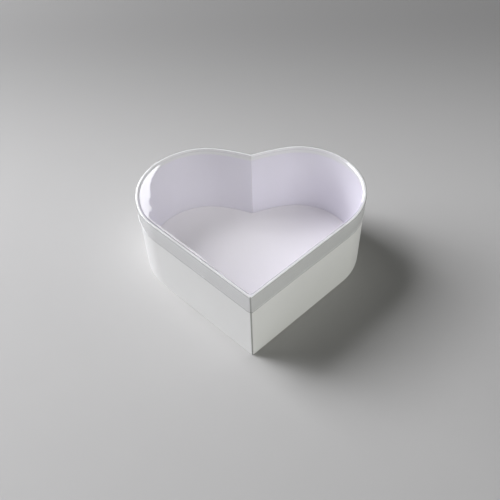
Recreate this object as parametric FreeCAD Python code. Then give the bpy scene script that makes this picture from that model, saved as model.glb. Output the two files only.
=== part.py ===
"""Heart-shaped gift box: a wrapped board tray under a clear formed lid that lifts off.

Millimetres, +Z up. The tray stands on Z = 0, the heart's tip points along -Y and the two lobes along +Y.
The origin is the middle of the whole box, lid lip included, on the surface that it stands on.
Every outline is one heart, moved in or out by an offset from the outer face of the wall boards.
"""

import FreeCAD
import Part

import math
import os

V = FreeCAD.Vector

# Heart outline at the outer face of the wall boards
heart_width = 219.4
lobe_radius = 62.7
tip_reach = 131.0
crest_radius = 180.0
crest_start_deg = 102.0
tray_tip_radius = 1.0
tray_notch_radius = 1.0

# Tray
tray_height = 86.0
board = 0.8
base_board_thickness = 2.5
paper = 0.15
glue_gap = 0.15
turn_in = 12.0
turn_under = 14.0
bottom_sheet_inset = 2.0
base_board_clearance = 0.1
seam_gap = 0.1
tip_groove_width = 1.4
tip_groove_depth = 0.9

# Stay tapes inside the two corners, each leg measured along X
stay_tape = 0.1
stay_tape_leg = 9.0
stay_tape_clearance = 0.4

# Lining and floor
lining_drop = 7.0
lining_clearance = 0.05
floor_pad_thickness = 2.0
floor_pad_clearance = 0.4

# Clear lid
lid_sheet = 0.35
lid_clearance = 0.35
lid_skirt_height = 20.0
lid_tip_extra = 0.5
lid_notch_radius = 10.0
lid_lip_width = 0.5
lid_recess_depth = 1.0
lid_recess_clearance = 1.2
lid_recess_tip_radius = 6.0

# Offsets and heights that follow from the sizes above
wrap_outer = glue_gap + paper
wrap_inner = -(board + glue_gap + paper)
lining_outer = wrap_inner - lining_clearance
lining_inner = lining_outer - paper
lid_inner = wrap_outer + lid_clearance
lid_outer = lid_inner + lid_sheet
lip_outer = lid_outer + lid_lip_width
recess_outer = wrap_inner - lid_recess_clearance
recess_inner = recess_outer - lid_sheet
board_bottom = 2 * paper
board_top = tray_height - paper - glue_gap
base_board_top = board_bottom + base_board_thickness
lining_top = tray_height - lining_drop
lid_top = tray_height + lid_sheet
lid_bottom = lid_top - lid_skirt_height
recess_floor = lid_top - lid_recess_depth
lid_tip_radius = tray_tip_radius + lid_tip_extra
lid_inside_radius = 0.75 * lid_clearance
lid_outside_radius = lid_inside_radius + lid_sheet

# Fixed centres of the outline's arcs, with the lobe centres on Y = 0 before the box is centred
lobe_x = heart_width / 2 - lobe_radius
side_angle = math.atan2(lobe_x, tip_reach) + math.asin(lobe_radius / math.hypot(lobe_x, tip_reach))
side_normal = V(math.cos(side_angle), -math.sin(side_angle), 0)
lobe_centre = V(lobe_x, 0, 0)
crest_start = math.radians(crest_start_deg)
crest_shift = lobe_radius - crest_radius
crest_centre = lobe_centre + V(math.cos(crest_start), math.sin(crest_start), 0) * crest_shift


def mirrored(point):
    return V(-point.x, point.y, point.z)


def round_arc(centre, radius, start, end):
    """The first, middle and last point of an arc between two angles in radians."""
    angles = (start, (start + end) / 2, end)
    return [centre + V(math.cos(a), math.sin(a), 0) * radius for a in angles]


def tip_point(offset, tip_radius):
    """The right-hand end of the tip's rounding and the lowest point of the outline."""
    centre = V(0, -tip_reach + tip_radius / math.sin(side_angle), 0)
    radius = tip_radius + offset
    if radius > 0:
        return centre + side_normal * radius, centre - V(0, radius, 0)
    sharp = V(0, -tip_reach - offset / math.sin(side_angle), 0)
    return sharp, sharp


def notch_point(offset, notch_radius):
    """The right-hand end of the notch's rounding and the deepest point of the notch."""
    rise = math.sqrt((crest_radius + notch_radius) ** 2 - crest_centre.x ** 2)
    centre = crest_centre + V(-crest_centre.x, rise, 0)
    radius = notch_radius - offset
    if radius > 0:
        toward_crest = (crest_centre - centre).normalize()
        return centre + toward_crest * radius, centre - V(0, radius, 0)
    depth = math.sqrt((crest_radius + offset) ** 2 - crest_centre.x ** 2)
    sharp = crest_centre + V(-crest_centre.x, depth, 0)
    return sharp, sharp


def right_half(offset, tip_radius, notch_radius):
    """The right half of the outline from the tip to the notch, as point lists of lines and arcs."""
    side_start, _ = tip_point(offset, tip_radius)
    crest_end, _ = notch_point(offset, notch_radius)
    lobe = round_arc(lobe_centre, lobe_radius + offset, -side_angle, crest_start)
    from_crest = crest_end - crest_centre
    crest_stop = math.atan2(from_crest.y, from_crest.x)
    crest = round_arc(crest_centre, crest_radius + offset, crest_start, crest_stop)
    return [[side_start, lobe[0]], lobe, crest]


def edge_through(points):
    if len(points) == 2:
        return Part.LineSegment(*points).toShape()
    return Part.Arc(*points).toShape()


def heart_points(offset, tip_radius, notch_radius):
    """The whole outline, anticlockwise from the tip."""
    right = right_half(offset, tip_radius, notch_radius)
    left = [[mirrored(p) for p in reversed(run)] for run in reversed(right)]
    notch_end, notch_deep = notch_point(offset, notch_radius)
    tip_end, tip_low = tip_point(offset, tip_radius)
    outline = list(right)
    if notch_end.x > 0:
        outline.append([notch_end, notch_deep, mirrored(notch_end)])
    outline.extend(left)
    if tip_end.x > 0:
        outline.append([mirrored(tip_end), tip_low, tip_end])
    return outline


# The box is centred on the outermost outline, which is the lid's lip
lowest_y = tip_point(lip_outer, lid_tip_radius)[1].y
highest_y = lobe_radius + lip_outer
to_centre = V(0, -(lowest_y + highest_y) / 2, 0)
tip_y = -tip_reach + to_centre.y
notch_y = notch_point(0, tray_notch_radius)[1].y + to_centre.y


def prism(offset, bottom, top, tip_radius=tray_tip_radius, notch_radius=tray_notch_radius):
    """A solid heart between two heights."""
    outline = heart_points(offset, tip_radius, notch_radius)
    wire = Part.Wire([edge_through(points) for points in outline])
    wire.translate(to_centre + V(0, 0, bottom))
    return Part.Face(wire).extrude(V(0, 0, top - bottom))


def ring(outer, inner, bottom, top, **corners):
    """A heart-shaped wall between two offsets and two heights."""
    return prism(outer, bottom, top, **corners).cut(prism(inner, bottom, top, **corners))


def block(x_range, y_range, z_range):
    low = V(x_range[0], y_range[0], z_range[0])
    high = V(x_range[1], y_range[1], z_range[1])
    size = high - low
    return Part.makeBox(size.x, size.y, size.z, low)


reach = heart_width + tray_height


def one_side(shape, side):
    """One half of a tray piece, side +1 right or -1 left, held back from the seams and the tip's groove."""
    half = block((seam_gap / 2, reach), (-reach, reach), (-reach, reach))
    groove_end = tip_y + tip_groove_depth
    groove = block((0, tip_groove_width / 2), (-reach, groove_end), (-reach, reach))
    kept = half.cut(groove)
    if side < 0:
        kept = kept.mirror(V(0, 0, 0), V(1, 0, 0))
    return shape.common(kept)


def wall_board(side):
    return one_side(ring(0, -board, board_bottom, board_top), side)


def outer_wrap(side):
    """Paper up the outside, over the rim, down inside as the turn-in, and under the base."""
    skin = ring(wrap_outer, glue_gap, paper, tray_height)
    rim = ring(wrap_outer, wrap_inner, tray_height - paper, tray_height)
    inside = ring(-(board + glue_gap), wrap_inner, tray_height - turn_in, tray_height)
    under = ring(wrap_outer, -turn_under, paper, board_bottom)
    wrap = skin.multiFuse([rim, inside, under]).removeSplitter()
    return one_side(wrap, side)


def lining(side):
    return one_side(ring(lining_outer, lining_inner, base_board_top, lining_top), side)


def base_board():
    return prism(-(board + base_board_clearance), board_bottom, base_board_top)


def bottom_sheet():
    return prism(-bottom_sheet_inset, 0, paper)


def floor_pad():
    top = base_board_top + floor_pad_thickness
    return prism(lining_inner - floor_pad_clearance, base_board_top, top)


def stay_tape_at(corner_y):
    """A strip folded into an inside corner of the wall, over both boards."""
    bottom = base_board_top + stay_tape_clearance
    top = board_top - stay_tape_clearance
    tape = ring(-board, -(board + stay_tape), bottom, top)
    legs = (-stay_tape_leg, stay_tape_leg)
    near = block(legs, (corner_y - lobe_radius / 2, corner_y + lobe_radius / 2), (bottom, top))
    return tape.common(near)


def rounded_top(shape, radius):
    """The shape with the edges of its top face rounded."""
    top = shape.BoundBox.ZMax
    edges = [e for e in shape.Edges if e.BoundBox.ZMin > top - radius / 2]
    return shape.makeFillet(radius, edges)


def clear_lid():
    """A formed sheet: a recessed panel, a raised rim that sits on the tray, a skirt and a trimmed lip."""
    corners = {"tip_radius": lid_tip_radius, "notch_radius": lid_notch_radius}
    recess = {"tip_radius": lid_recess_tip_radius}
    outside = rounded_top(prism(lid_outer, lid_bottom, lid_top, **corners), lid_outside_radius)
    inside = rounded_top(prism(lid_inner, lid_bottom, tray_height, **corners), lid_inside_radius)
    skirt = outside.cut(inside).cut(prism(recess_outer, tray_height - lid_sheet, lid_top, **recess))
    dish = prism(recess_outer, recess_floor - lid_sheet, lid_top, **recess)
    dish = dish.cut(prism(recess_inner, recess_floor, lid_top, **recess))
    lip = ring(lip_outer, lid_inner, lid_bottom, lid_bottom + lid_sheet, **corners)
    return skirt.multiFuse([dish, lip]).removeSplitter()


def pieces():
    """Every node's name with its shape."""
    made = {
        "bottom_sheet": bottom_sheet(),
        "base_board": base_board(),
        "tip_stay_tape": stay_tape_at(tip_y),
        "notch_stay_tape": stay_tape_at(notch_y),
        "floor_pad": floor_pad(),
        "clear_lid": clear_lid(),
    }
    for name, side in (("left", -1), ("right", 1)):
        made[name + "_wall_board"] = wall_board(side)
        made[name + "_outer_wrap"] = outer_wrap(side)
        made[name + "_lining"] = lining(side)
    return made


def main():
    os.makedirs("parts", exist_ok=True)
    for name, shape in pieces().items():
        box = shape.BoundBox
        print(
            f"{name}: {len(shape.Solids)} solid, valid {shape.isValid()}, {shape.Volume:.0f} mm3, "
            f"X {box.XMin:.2f} {box.XMax:.2f}, Y {box.YMin:.2f} {box.YMax:.2f}, Z {box.ZMin:.2f} {box.ZMax:.2f}"
        )
        shape.exportStep(f"parts/{name}.step")


main()
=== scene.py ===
"""Looks of the heart-shaped gift box: paper, board and clear sheet materials, soft light, floor and camera.

Metres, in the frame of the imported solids: +Z up, the heart's tip towards -Y.
"""

import math

import bpy
from mathutils import Matrix, Vector


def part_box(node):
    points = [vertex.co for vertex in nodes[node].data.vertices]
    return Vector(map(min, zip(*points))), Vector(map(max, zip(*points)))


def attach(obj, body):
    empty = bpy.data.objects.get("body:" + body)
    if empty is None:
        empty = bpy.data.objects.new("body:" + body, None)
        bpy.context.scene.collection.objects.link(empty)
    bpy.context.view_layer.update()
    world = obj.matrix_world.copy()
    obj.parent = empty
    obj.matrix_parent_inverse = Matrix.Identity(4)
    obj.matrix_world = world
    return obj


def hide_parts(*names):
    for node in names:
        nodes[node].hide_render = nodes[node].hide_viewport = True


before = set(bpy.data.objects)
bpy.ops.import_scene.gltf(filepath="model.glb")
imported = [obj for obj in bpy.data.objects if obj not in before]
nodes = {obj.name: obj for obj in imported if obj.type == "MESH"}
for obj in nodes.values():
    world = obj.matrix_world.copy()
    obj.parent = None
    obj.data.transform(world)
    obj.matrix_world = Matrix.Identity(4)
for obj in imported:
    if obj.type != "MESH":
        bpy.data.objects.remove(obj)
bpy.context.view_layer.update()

# Millimetres to metres
MM = 0.001

# Camera, from the box's edges in the photograph, with focal length in pixels of a 500 pixel wide picture
PICTURE_PIXELS = 500
FOCAL_PIXELS = 650
SENSOR_WIDTH = 36.0
CAMERA_TARGET = Vector((-0.0028, 0.0328, 0.0))
CAMERA_DISTANCE = 0.6865
CAMERA_AZIMUTH = math.radians(1.837)
CAMERA_ELEVATION = math.radians(48.214)
CAMERA_ROLL = math.radians(-2.242)

# Colours in linear light
WHITE_PAPER = (0.84, 0.84, 0.84)
LINING = (0.82, 0.795, 0.872)
FLOOR_CARD = (0.92, 0.893, 0.915)
GREY_BOARD = (0.26, 0.24, 0.21)
KRAFT = (0.42, 0.29, 0.17)
CLEAR_SHEET = (0.975, 0.978, 0.988)
SHEET_SHADE = (0.955, 0.957, 0.962)
BLACK = (0.0, 0.0, 0.0)
STUDIO_FLOOR = (0.62, 0.617, 0.607)
DAYLIGHT = (0.99, 0.99, 1.02)
WARM_LIGHT = (1.0, 1.015, 0.94)

# Paper: clouds and fibres per metre, the fibres' tone, height and change of roughness, and the gloss
CLOUD_SCALE = 30.0
FIBRE_SCALE = 1400.0
FIBRE_DETAIL = 6.0
FIBRE_STRETCH = (1, 1, 0.5)
FIBRE_TONE = 0.985
FIBRE_HEIGHT = 0.00006
ROUGHNESS_CHANGE = 0.06
PAPER_SHINE = 0.1

# Folded wrap over the wall boards' ends: how far behind the tip it stops, in millimetres, and how much its
# white is darkened as painted shade in the tip's groove
FOLD_START = 2.0
FOLD_END = 2.4
FOLD_PAINTED_SHADE = 0.65

# Clear sheet: haze and mould waves per metre, and how sharply it turns away light at low angles
SHEET_IOR = 1.5
HAZE_SCALE = 40.0
HAZE_LOW = 0.02
HAZE_HIGH = 0.05
MOULD_SCALE = 22.0
MOULD_DETAIL = 1.0
MOULD_STRENGTH = 0.3
MOULD_HEIGHT = 0.0006
GRAZING_POWER = 5.0

# Heart outline in millimetres at the outer face of the wall boards, with the lobe centres on Y = 0
HEART_WIDTH = 219.4
LOBE_RADIUS = 62.7
TIP_REACH = 131.0
CREST_RADIUS = 180.0
CREST_START = math.radians(102.0)
LEAST_RADIUS = 0.02

# Steps along each run of that outline, and along each bend of the lid's section
CORNER_STEPS = 10
SIDE_STEPS = 40
LOBE_STEPS = 90
CREST_STEPS = 36
SKIRT_STEPS = 6
SHOULDER_STEPS = 6
RECESS_STEPS = 5
LIP_STEPS = 4

# Clear lid in millimetres: offsets from that outline and heights
LID_TIP_RADIUS = 1.5
LID_NOTCH_RADIUS = 10.0
RECESS_TIP_RADIUS = 6.0
TRAY_NOTCH_RADIUS = 1.0
SHEET = 0.35
LIP_OFFSET = 1.45
LIP_BEND = 0.2
LIP_EDGE_IN = 0.05
LIP_EDGE_UP = 0.06
LIP_HEEL_IN = 0.06
LIP_HEEL_UP = 0.08
SKIRT_OFFSET = 1.0
SKIRT_START = 0.9
SKIRT_END = 1.0
TOP_BEND = 0.6
RECESS_START = -1.35
RECESS_BEND = 0.9
LID_FOOT = 66.35
LID_TOP = 86.35
RECESS_DEPTH = 1.0
PANEL_EDGE = RECESS_START - RECESS_DEPTH - 2 * RECESS_BEND * math.tan(math.radians(22.5))
PANEL_CROWN = 0.85
CROWN_LENGTH = 3.3
SLOW_WAVE = 0.05
QUICK_WAVE = 0.02
SLACK = 0.01

# How far in from the panel's edge its rings lie, in millimetres
PANEL_RINGS = (0.3, 0.7, 1.2, 1.8, 2.5, 3.4, 4.5, 6.0, 8.0, 11.0, 15.0, 20.0, 27.0, 36.0, 46.0, 53.0)

# Lamps, the room round them and the floor, whose colour fades to a darker tone at the back as painted shade
AIM = Vector((0.0, 0.03, 0.05))
LAMP_DISTANCE = 2.5
ROOM_LIGHT = 0.06
ROOM_SEEN = 0.9
FLOOR_SIZE = 8.0
FLOOR_FADE_START = 0.04
FLOOR_FADE_END = 0.52
FLOOR_FAR_PAINTED_SHADE = 0.5


def new_material(name):
    material = bpy.data.materials.new(name)
    material.use_nodes = True
    tree = material.node_tree
    return material, tree, tree.nodes["Principled BSDF"]


def add_node(tree, kind, **settings):
    node = tree.nodes.new(kind)
    for key, value in settings.items():
        setattr(node, key, value)
    return node


def noise(tree, scale, detail=4.0, stretch=(1, 1, 1)):
    """Noise in object space, in features per metre along each axis after the stretch."""
    place = add_node(tree, "ShaderNodeTexCoord")
    mapping = add_node(tree, "ShaderNodeMapping")
    mapping.inputs["Scale"].default_value = stretch
    texture = add_node(tree, "ShaderNodeTexNoise")
    texture.inputs["Scale"].default_value = scale
    texture.inputs["Detail"].default_value = detail
    tree.links.new(place.outputs["Object"], mapping.inputs["Vector"])
    tree.links.new(mapping.outputs["Vector"], texture.inputs["Vector"])
    return texture.outputs["Fac"]


def ranged(tree, value, low, high, from_low=0.3, from_high=0.7, kind="LINEAR"):
    """A value socket moved from one range to another, and held within it."""
    node = add_node(tree, "ShaderNodeMapRange", interpolation_type=kind)
    node.inputs["From Min"].default_value = from_low
    node.inputs["From Max"].default_value = from_high
    node.inputs["To Min"].default_value = low
    node.inputs["To Max"].default_value = high
    tree.links.new(value, node.inputs["Value"])
    return node.outputs["Result"]


def blended(tree, factor, first, second):
    """A colour between two, each a colour or a colour socket, by a factor socket."""
    node = add_node(tree, "ShaderNodeMix", data_type="RGBA")
    tree.links.new(factor, node.inputs["Factor"])
    colour_inputs = [socket for socket in node.inputs if socket.type == "RGBA"]
    for socket, colour in zip(colour_inputs, (first, second)):
        if isinstance(colour, tuple):
            socket.default_value = (*colour, 1.0)
        else:
            tree.links.new(colour, socket)
    return next(socket for socket in node.outputs if socket.type == "RGBA")


def scaled(colour, share):
    return tuple(c * share for c in colour)


def bumped(tree, shader, height, strength, distance):
    bump = add_node(tree, "ShaderNodeBump")
    bump.inputs["Strength"].default_value = strength
    bump.inputs["Distance"].default_value = distance
    tree.links.new(height, bump.inputs["Height"])
    tree.links.new(bump.outputs["Normal"], shader.inputs["Normal"])


def paper_material(name, colour, roughness, tone=0.97, fibre=0.25):
    """Paper with faint clouding in its tone and fine fibres in its surface."""
    material, tree, shader = new_material(name)
    cloud = noise(tree, CLOUD_SCALE)
    fibres = noise(tree, FIBRE_SCALE, FIBRE_DETAIL, FIBRE_STRETCH)
    mottled = blended(tree, ranged(tree, cloud, 0.0, 1.0), scaled(colour, tone), colour)
    speckled = blended(tree, ranged(tree, fibres, 0.0, 1.0), scaled(colour, FIBRE_TONE), mottled)
    tree.links.new(speckled, shader.inputs["Base Color"])
    shader.inputs["Specular IOR Level"].default_value = PAPER_SHINE
    uneven = ranged(tree, fibres, roughness - ROUGHNESS_CHANGE, roughness + ROUGHNESS_CHANGE)
    tree.links.new(uneven, shader.inputs["Roughness"])
    bumped(tree, shader, fibres, fibre, FIBRE_HEIGHT)
    return material


def change_along_y(material, colour, low, high, start, end, kind="LINEAR"):
    """Mix a colour into a paper by a share that goes from low to high between two places along Y."""
    tree = material.node_tree
    base = tree.nodes["Principled BSDF"].inputs["Base Color"]
    own = base.links[0].from_socket
    place = add_node(tree, "ShaderNodeTexCoord")
    axes = add_node(tree, "ShaderNodeSeparateXYZ")
    tree.links.new(place.outputs["Object"], axes.inputs["Vector"])
    share = ranged(tree, axes.outputs["Y"], low, high, start, end, kind)
    tree.links.new(blended(tree, share, own, colour), base)


def board_material(name, tip_y):
    """Grey board with coarse fibres, its ends at the heart's tip covered by the folded wrap, whose white is
    darkened there as painted shade in the groove.
    """
    material = paper_material(name, GREY_BOARD, roughness=0.8, tone=0.7, fibre=0.6)
    # Painted shade: the folded wrap's white paper is darkened where the tip's groove lies in shade
    fold_painted_shade = scaled(WHITE_PAPER, FOLD_PAINTED_SHADE)
    change_along_y(material, fold_painted_shade, 1.0, 0.0, tip_y + FOLD_START * MM, tip_y + FOLD_END * MM)
    return material


def clear_material(name):
    """Clear formed sheet: glossy, faintly wavy from the mould, and turning away light that grazes it."""
    material, tree, shader = new_material(name)
    shader.inputs["Base Color"].default_value = (*CLEAR_SHEET, 1.0)
    shader.inputs["Transmission Weight"].default_value = 1.0
    shader.inputs["IOR"].default_value = SHEET_IOR
    haze = noise(tree, HAZE_SCALE)
    tree.links.new(ranged(tree, haze, HAZE_LOW, HAZE_HIGH), shader.inputs["Roughness"])
    wave = noise(tree, MOULD_SCALE, MOULD_DETAIL)
    bumped(tree, shader, wave, MOULD_STRENGTH, MOULD_HEIGHT)
    through = add_node(tree, "ShaderNodeBsdfTransparent")
    facing = add_node(tree, "ShaderNodeLayerWeight")
    facing.inputs["Blend"].default_value = 0.5
    grazing = add_node(tree, "ShaderNodeMath", operation="POWER")
    grazing.inputs[1].default_value = GRAZING_POWER
    tree.links.new(facing.outputs["Facing"], grazing.inputs[0])
    shade = blended(tree, grazing.outputs[0], SHEET_SHADE, BLACK)
    tree.links.new(shade, through.inputs["Color"])
    path = add_node(tree, "ShaderNodeLightPath")
    either = add_node(tree, "ShaderNodeMixShader")
    tree.links.new(path.outputs["Is Shadow Ray"], either.inputs[0])
    tree.links.new(shader.outputs["BSDF"], either.inputs[1])
    tree.links.new(through.outputs["BSDF"], either.inputs[2])
    tree.links.new(either.outputs["Shader"], tree.nodes["Material Output"].inputs["Surface"])
    return material


def line_points(start, end, steps):
    """Points from one place towards another, without the last."""
    return [tuple(a + (b - a) * i / steps for a, b in zip(start, end)) for i in range(steps)]


def arc_points(x, y, radius, start, end, steps):
    """Points along an arc between two angles in radians."""
    angles = [start + (end - start) * i / steps for i in range(steps + 1)]
    return [(x + radius * math.cos(a), y + radius * math.sin(a)) for a in angles]


def heart_ring(offset, tip_radius, notch_radius):
    """Points round the heart at an offset, in millimetres, the same number for every offset."""
    lobe_x = HEART_WIDTH / 2 - LOBE_RADIUS
    side = math.atan2(lobe_x, TIP_REACH) + math.asin(LOBE_RADIUS / math.hypot(lobe_x, TIP_REACH))
    crest_x = lobe_x + (LOBE_RADIUS - CREST_RADIUS) * math.cos(CREST_START)
    crest_y = (LOBE_RADIUS - CREST_RADIUS) * math.sin(CREST_START)
    tip = max(tip_radius + offset, LEAST_RADIUS)
    tip_y = -TIP_REACH + (tip - offset) / math.sin(side)
    notch = max(notch_radius - offset, LEAST_RADIUS)
    notch_y = crest_y + math.sqrt((CREST_RADIUS + offset + notch) ** 2 - crest_x ** 2)
    crest_end = math.atan2(notch_y - crest_y, -crest_x)
    tip_run = arc_points(0.0, tip_y, tip, -math.pi / 2, -side, CORNER_STEPS)
    lobe_run = arc_points(lobe_x, 0.0, LOBE_RADIUS + offset, -side, CREST_START, LOBE_STEPS)
    crest_run = arc_points(crest_x, crest_y, CREST_RADIUS + offset, CREST_START, crest_end, CREST_STEPS)
    notch_run = arc_points(0.0, notch_y, notch, crest_end - math.pi, -math.pi / 2, CORNER_STEPS)
    side_run = line_points(tip_run[-1], lobe_run[0], SIDE_STEPS)
    right = tip_run[:-1] + side_run + lobe_run[:-1] + crest_run[:-1] + notch_run
    left = [(-x, y) for x, y in reversed(right[1:-1])]
    return right + left


def panel_wave(x, y):
    """How far the lid's panel strays from flat, in millimetres."""
    slow = math.sin(0.055 * x + 0.031 * y + 0.6) * math.sin(0.047 * y - 0.5)
    quick = math.sin(0.16 * x - 0.09 * y + 1.1) * math.sin(0.19 * y + 0.4)
    return SLOW_WAVE * slow + QUICK_WAVE * quick


def lid_profile(thickness):
    """The lid's section from above its lip to its panel, on its upper face or a sheet's thickness below."""
    quarter = math.pi / 2
    slope = quarter / 2
    dip = LID_TOP - RECESS_DEPTH
    face = SKIRT_OFFSET - thickness
    top_radius = TOP_BEND - thickness
    brink_radius = RECESS_BEND - thickness
    foot_radius = RECESS_BEND + thickness
    rise = line_points((face, LID_FOOT + SKIRT_START), (face, LID_TOP - SKIRT_END), SKIRT_STEPS)
    shoulder_place = (SKIRT_OFFSET - TOP_BEND, LID_TOP - TOP_BEND)
    shoulder = arc_points(*shoulder_place, top_radius, 0.0, quarter, SHOULDER_STEPS)
    brink_place = (RECESS_START, LID_TOP - RECESS_BEND)
    brink = arc_points(*brink_place, brink_radius, quarter, quarter + slope, RECESS_STEPS)
    foot = arc_points(PANEL_EDGE, dip + RECESS_BEND, foot_radius, -slope, -quarter, RECESS_STEPS)
    return rise + shoulder + brink + foot


def lid_lip():
    """The section of the trimmed lip at the skirt's foot, from inside to outside, with its edges broken."""
    top = LID_FOOT + SHEET
    inside = SKIRT_OFFSET - SHEET
    bend = arc_points(SKIRT_OFFSET + LIP_BEND, top + LIP_BEND, LIP_BEND, -math.pi / 2, -math.pi, LIP_STEPS)
    heel = [(inside, LID_FOOT + LIP_HEEL_UP), (inside + LIP_HEEL_IN, LID_FOOT)]
    low_edge = [(LIP_OFFSET - LIP_EDGE_IN, LID_FOOT), (LIP_OFFSET, LID_FOOT + LIP_EDGE_UP)]
    high_edge = [(LIP_OFFSET, top - LIP_EDGE_UP), (LIP_OFFSET - LIP_EDGE_IN, top)]
    return heel + low_edge + high_edge + bend


def lid_rings():
    """The rings of the lid's shell as (offset, height, on panel), from the panel's underside to its top."""
    dip = LID_TOP - RECESS_DEPTH
    swell = [dip + PANEL_CROWN * (1 - math.exp(-d / CROWN_LENGTH)) for d in PANEL_RINGS]
    crown = [(PANEL_EDGE - d, z, True) for d, z in zip(PANEL_RINGS, swell)]
    under = [(d, z - SHEET, True) for d, z, _ in crown]
    low = [(d, z, False) for d, z in lid_profile(SHEET)]
    high = [(d, z, False) for d, z in lid_profile(0.0)]
    lip = [(d, z, False) for d, z in lid_lip()]
    return under[::-1] + low[::-1] + lip + high + crown


def lid_places(rings, middle):
    """The corners of the lid's shell, ring by ring, in metres and centred on the box."""
    places = []
    for offset, height, on_panel in rings:
        inside = offset < RECESS_START + SLACK
        tip = RECESS_TIP_RADIUS if inside else LID_TIP_RADIUS
        notch = TRAY_NOTCH_RADIUS if inside else LID_NOTCH_RADIUS
        for x, y in heart_ring(offset, tip, notch):
            wave = panel_wave(x, y) if on_panel else 0.0
            places.append((x * MM, (y - middle) * MM, (height + wave) * MM))
    return places


def lid_faces(ring_count, count):
    """The faces between neighbouring rings, and one that closes the panel below and above."""
    faces = [tuple(reversed(range(count)))]
    for ring in range(ring_count - 1):
        start = ring * count
        for i in range(count):
            j = (i + 1) % count
            faces.append((start + j, start + count + j, start + count + i, start + i))
    last = (ring_count - 1) * count
    faces.append(tuple(range(last, last + count)))
    return faces


def make_lid():
    """The clear lid as one thin formed shell whose panel is slightly crowned and wavy."""
    outline = heart_ring(LIP_OFFSET, LID_TIP_RADIUS, LID_NOTCH_RADIUS)
    middle = (min(y for _, y in outline) + max(y for _, y in outline)) / 2
    rings = lid_rings()
    mesh = bpy.data.meshes.new("lid_shell")
    mesh.from_pydata(lid_places(rings, middle), [], lid_faces(len(rings), len(outline)))
    mesh.validate()
    mesh.shade_smooth()
    lid = bpy.data.objects.new("lid_shell", mesh)
    bpy.context.collection.objects.link(lid)
    mesh.materials.append(clear_material("clear_sheet"))
    lid.visible_diffuse = False
    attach(lid, "lid")
    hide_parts("clear_lid")


def dress(names, material):
    for name in names:
        nodes[name].data.materials.clear()
        nodes[name].data.materials.append(material)


def paint_box():
    dress(["left_outer_wrap", "right_outer_wrap"], paper_material("white_paper", WHITE_PAPER, roughness=0.55))
    dress(["left_lining", "right_lining"], paper_material("lining_paper", LINING, roughness=0.65))
    dress(["floor_pad"], paper_material("floor_card", FLOOR_CARD, roughness=0.6))
    dress(["bottom_sheet"], paper_material("bottom_paper", WHITE_PAPER, roughness=0.6))
    tip_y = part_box("left_wall_board")[0][1]
    dress(["base_board", "left_wall_board", "right_wall_board"], board_material("grey_board", tip_y))
    kraft = paper_material("kraft_tape", KRAFT, roughness=0.7, tone=0.85, fibre=0.4)
    dress(["tip_stay_tape", "notch_stay_tape"], kraft)


def place_camera():
    back = Vector((
        math.sin(CAMERA_AZIMUTH) * math.cos(CAMERA_ELEVATION),
        -math.cos(CAMERA_AZIMUTH) * math.cos(CAMERA_ELEVATION),
        math.sin(CAMERA_ELEVATION),
    ))
    right = Vector((math.cos(CAMERA_AZIMUTH), math.sin(CAMERA_AZIMUTH), 0.0))
    up = back.cross(right)
    rolled_right = right * math.cos(CAMERA_ROLL) + up * math.sin(CAMERA_ROLL)
    rolled_up = up * math.cos(CAMERA_ROLL) - right * math.sin(CAMERA_ROLL)
    data = bpy.data.cameras.new("camera")
    data.sensor_width = SENSOR_WIDTH
    data.lens = SENSOR_WIDTH * FOCAL_PIXELS / PICTURE_PIXELS
    data.clip_start = 0.01
    camera = bpy.data.objects.new("camera", data)
    turn = Matrix((rolled_right, rolled_up, back)).transposed().to_4x4()
    camera.matrix_world = Matrix.Translation(CAMERA_TARGET + back * CAMERA_DISTANCE) @ turn
    bpy.context.collection.objects.link(camera)
    bpy.context.scene.camera = camera


def soft_light(name, colour, place, aim, width, height, power):
    data = bpy.data.lights.new(name, "AREA")
    data.shape = "RECTANGLE"
    data.size = width
    data.size_y = height
    data.energy = power
    data.color = colour
    lamp = bpy.data.objects.new(name, data)
    lamp.location = place
    lamp.rotation_euler = (aim - place).to_track_quat("-Z", "Y").to_euler()
    bpy.context.collection.objects.link(lamp)
    return lamp


def lamp_at(name, colour, azimuth, elevation, width, height, power, lift=0.0):
    """A lamp at lamp distance, turned from +Y towards -X in degrees, and raised in its own plane."""
    turn = math.radians(azimuth)
    rise = math.radians(elevation)
    toward = Vector((-math.sin(turn) * math.cos(rise), math.cos(turn) * math.cos(rise), math.sin(rise)))
    upward = Vector((math.sin(turn) * math.sin(rise), -math.cos(turn) * math.sin(rise), math.cos(rise)))
    aim = AIM + upward * lift
    return soft_light(name, colour, aim + toward * LAMP_DISTANCE, aim, width, height, power)


def keep_light_off(lamp, piece):
    """Spare one piece the light of a lamp, as a flag between them would."""
    spared = bpy.data.collections.new("spared_" + lamp.name)
    spared.objects.link(piece)
    spared.collection_objects[0].light_linking.link_state = "EXCLUDE"
    lamp.light_linking.receiver_collection = spared


def light_window():
    """Daylight from the left: two lamps that light the papers and a large one that only the gloss shows."""
    mirrored = lamp_at(
        "mirrored_window", DAYLIGHT, azimuth=51.7, elevation=15, width=2.8, height=2.37,
        power=100.0, lift=0.51,
    )
    mirrored.visible_diffuse = False
    side = lamp_at("window_side", DAYLIGHT, azimuth=77, elevation=22, width=1.35, height=1.3, power=31.0)
    top = lamp_at("window_top", DAYLIGHT, azimuth=61, elevation=45, width=1.25, height=1.4, power=53.0)
    for lamp in (side, top):
        lamp.visible_glossy = False


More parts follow.
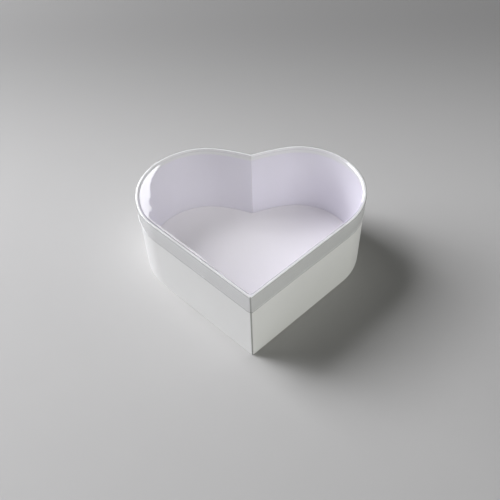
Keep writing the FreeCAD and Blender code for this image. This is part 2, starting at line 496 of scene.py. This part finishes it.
def light_fills(floor):
    """Weak light from the front and the right, the two larger lamps kept off the floor."""
    front = lamp_at("front_fill", WARM_LIGHT, azimuth=-160, elevation=29, width=1.6, height=1.3, power=17.0)
    high = lamp_at("high_fill", WARM_LIGHT, azimuth=-130, elevation=50, width=1.6, height=1.3, power=11.0)
    right = lamp_at("right_fill", WARM_LIGHT, azimuth=-100, elevation=15, width=1.25, height=1.25, power=6.0)
    for lamp in (front, high, right):
        lamp.visible_glossy = False
    for lamp in (front, high):
        keep_light_off(lamp, floor)


def light_room():
    """A pale room that the clear sheet mirrors and that hardly lights the papers."""
    world = bpy.data.worlds.new("studio")
    world.use_nodes = True
    tree = world.node_tree
    sky = tree.nodes["Background"]
    sky.inputs["Color"].default_value = (1.0, 1.0, 1.0, 1.0)
    path = add_node(tree, "ShaderNodeLightPath")
    seen = path.outputs["Is Camera Ray"]
    for kind in ("Is Glossy Ray", "Is Transmission Ray"):
        either = add_node(tree, "ShaderNodeMath", operation="MAXIMUM")
        tree.links.new(seen, either.inputs[0])
        tree.links.new(path.outputs[kind], either.inputs[1])
        seen = either.outputs[0]
    tree.links.new(ranged(tree, seen, ROOM_LIGHT, ROOM_SEEN, 0.0, 1.0), sky.inputs["Strength"])
    bpy.context.scene.world = world


def floor_material(name):
    """A pale matt ground with painted shade that grows darker away to the back."""
    material = paper_material(name, STUDIO_FLOOR, roughness=0.75, tone=0.985, fibre=0.05)
    # Painted shade: the floor's colour darkens towards the back
    far_painted_shade = scaled(STUDIO_FLOOR, FLOOR_FAR_PAINTED_SHADE)
    change_along_y(material, far_painted_shade, 0.0, 1.0, FLOOR_FADE_START, FLOOR_FADE_END, "SMOOTHSTEP")
    return material


def lay_floor():
    mesh = bpy.data.meshes.new("studio_floor")
    half = FLOOR_SIZE / 2
    corners = [(-half, -half, 0.0), (half, -half, 0.0), (half, half, 0.0), (-half, half, 0.0)]
    mesh.from_pydata(corners, [], [(0, 1, 2, 3)])
    floor = bpy.data.objects.new("studio_floor", mesh)
    bpy.context.collection.objects.link(floor)
    mesh.materials.append(floor_material("studio_floor"))
    return floor


paint_box()
make_lid()
place_camera()
studio_floor = lay_floor()
light_window()
light_fills(studio_floor)
light_room()
bpy.context.scene.view_settings.view_transform = "Standard"
